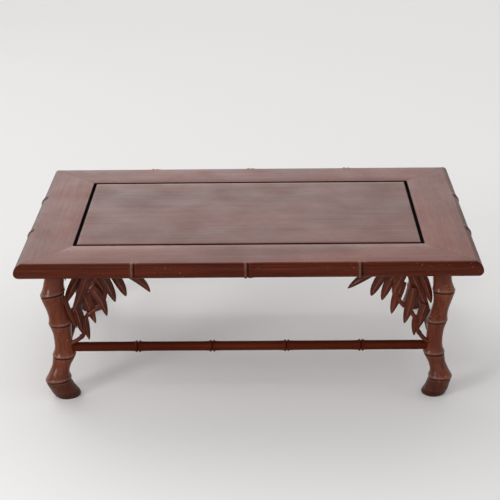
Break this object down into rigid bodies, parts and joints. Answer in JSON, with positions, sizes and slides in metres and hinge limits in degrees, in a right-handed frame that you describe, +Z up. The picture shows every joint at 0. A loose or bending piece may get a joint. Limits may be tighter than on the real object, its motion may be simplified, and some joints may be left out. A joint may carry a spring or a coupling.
{
  "type": "kang table",
  "caption": "Low rectangular hardwood table with a framed panel top, bamboo-carved legs, edge and stretchers, and openwork leaf spandrels.",
  "frame": {"origin": "on the floor, under the middle of the table", "axes": "+X along the length to the right, +Y to the back, +Z up; the front is the side seen in the picture"},
  "size_m": [0.8044, 0.5144, 0.281],
  "materials": {
    "frame_wood": "polished red-brown hardwood, fine straight grain",
    "panel_wood": "polished red-brown hardwood, fine lengthwise grain",
    "leg_wood": "polished, darker in the carved grooves",
    "stretcher_wood": "polished, darker in the carved grooves",
    "leaf_wood": "carved, stained and waxed",
    "batten_wood": "planed, thinly stained"
  },
  "bodies": {
    "root": {"front_rail": "frame_wood", "back_rail": "frame_wood", "left_rail": "frame_wood", "right_rail": "frame_wood", "panel": "panel_wood", "left_batten": "batten_wood", "middle_batten": "batten_wood", "right_batten": "batten_wood", "front_left_leg": "leg_wood", "front_right_leg": "leg_wood", "back_left_leg": "leg_wood", "back_right_leg": "leg_wood", "front_stretcher": "stretcher_wood", "back_stretcher": "stretcher_wood", "left_stretcher": "stretcher_wood", "right_stretcher": "stretcher_wood", "front_left_spandrel": "leaf_wood", "front_right_spandrel": "leaf_wood", "back_left_spandrel": "leaf_wood", "back_right_spandrel": "leaf_wood", "right_front_spandrel": "leaf_wood", "right_back_spandrel": "leaf_wood", "left_front_spandrel": "leaf_wood", "left_back_spandrel": "leaf_wood"}
  },
  "joints": []
}
